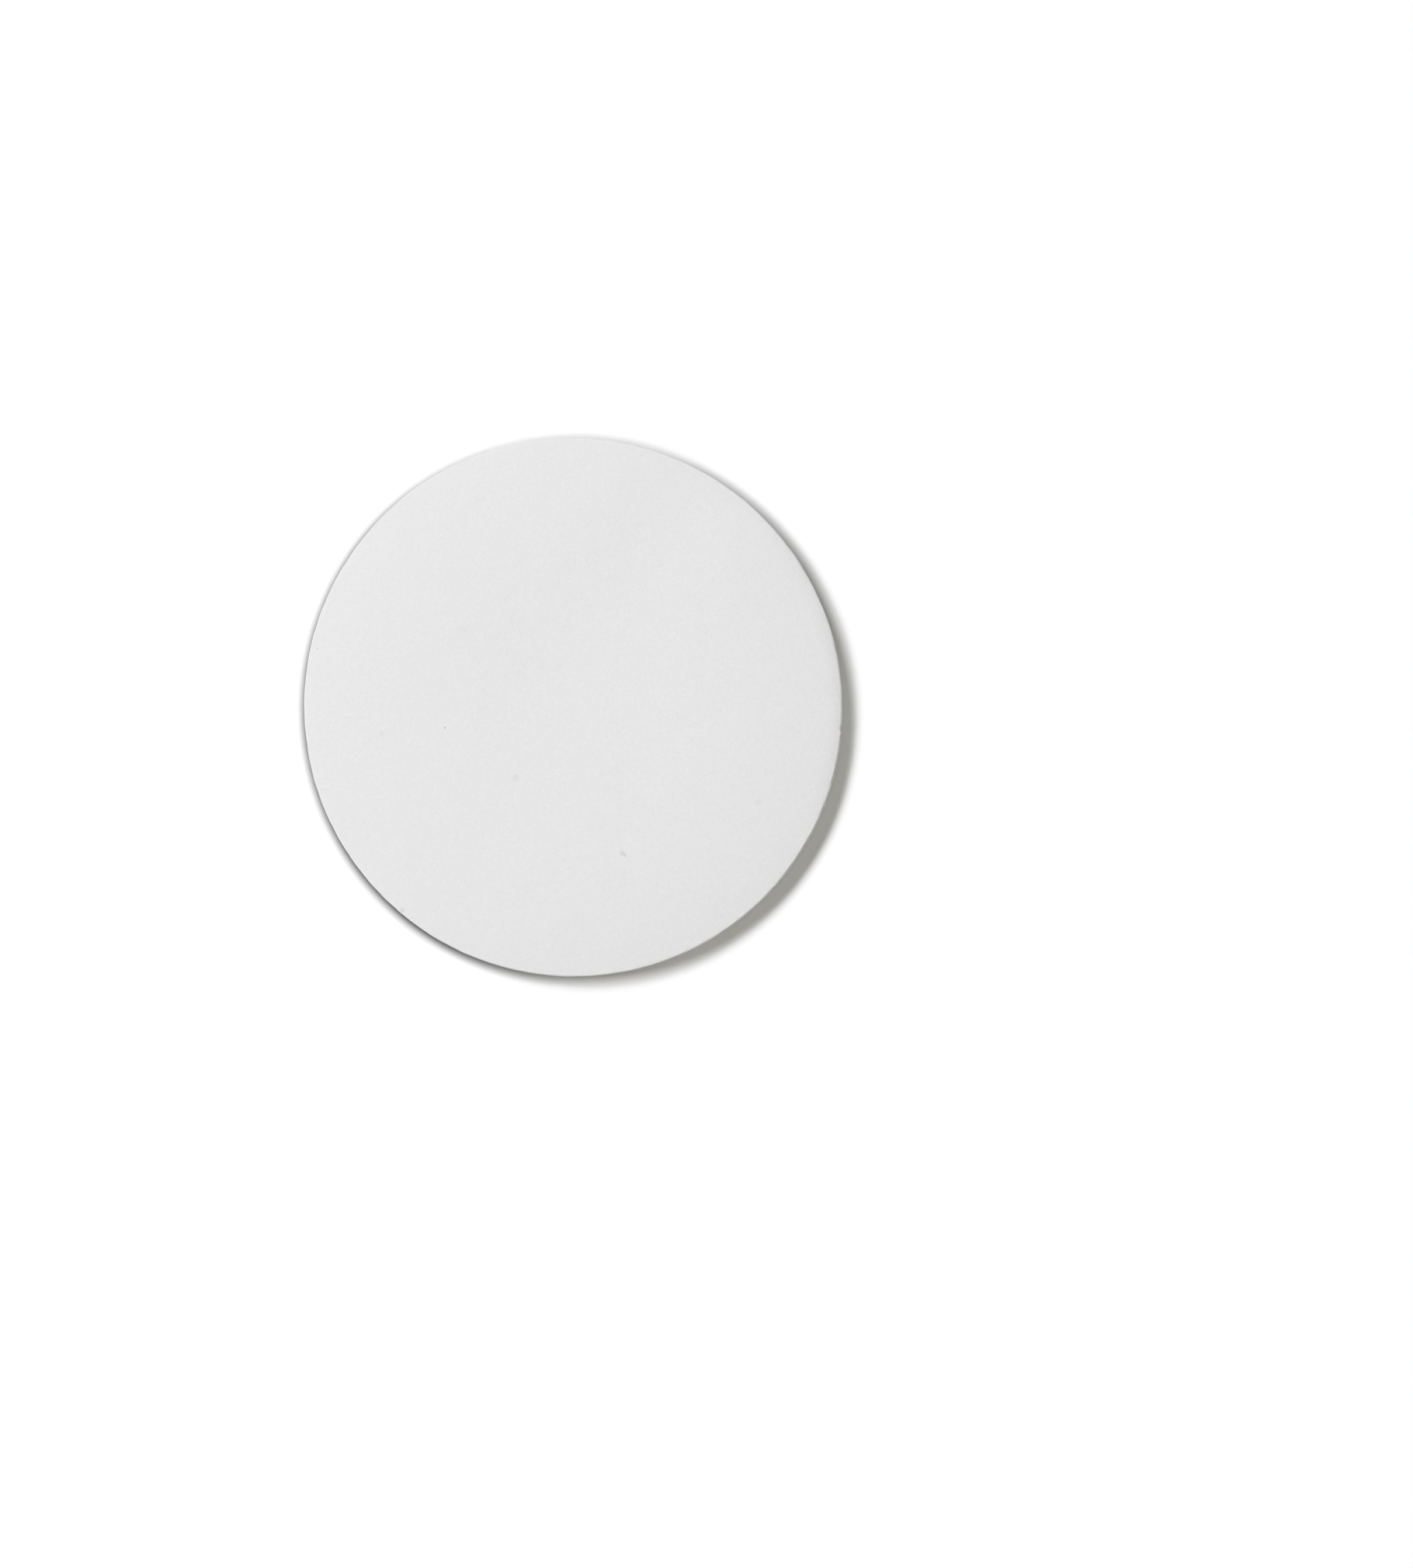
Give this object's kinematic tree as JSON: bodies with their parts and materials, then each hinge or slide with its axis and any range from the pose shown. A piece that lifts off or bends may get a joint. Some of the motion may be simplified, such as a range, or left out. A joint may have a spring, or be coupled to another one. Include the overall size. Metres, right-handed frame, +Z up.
{
  "type": "filter paper disc",
  "caption": "Round disc of thick white felted filter paper, die-cut, with matte faces, a slightly domed middle, a lightly rolled upper edge and a plain cut rim. It lies flat.",
  "frame": {"origin": "middle of the disc, on the surface that it lies on", "axes": "+Z up through both faces, along the disc's own axis; the nick in the rim is 5 degrees from +X towards -Y"},
  "size_m": [0.047, 0.047, 0.0019],
  "materials": {
    "filter_paper": "matte"
  },
  "bodies": {
    "root": {"filter_disc": "filter_paper"}
  },
  "joints": []
}
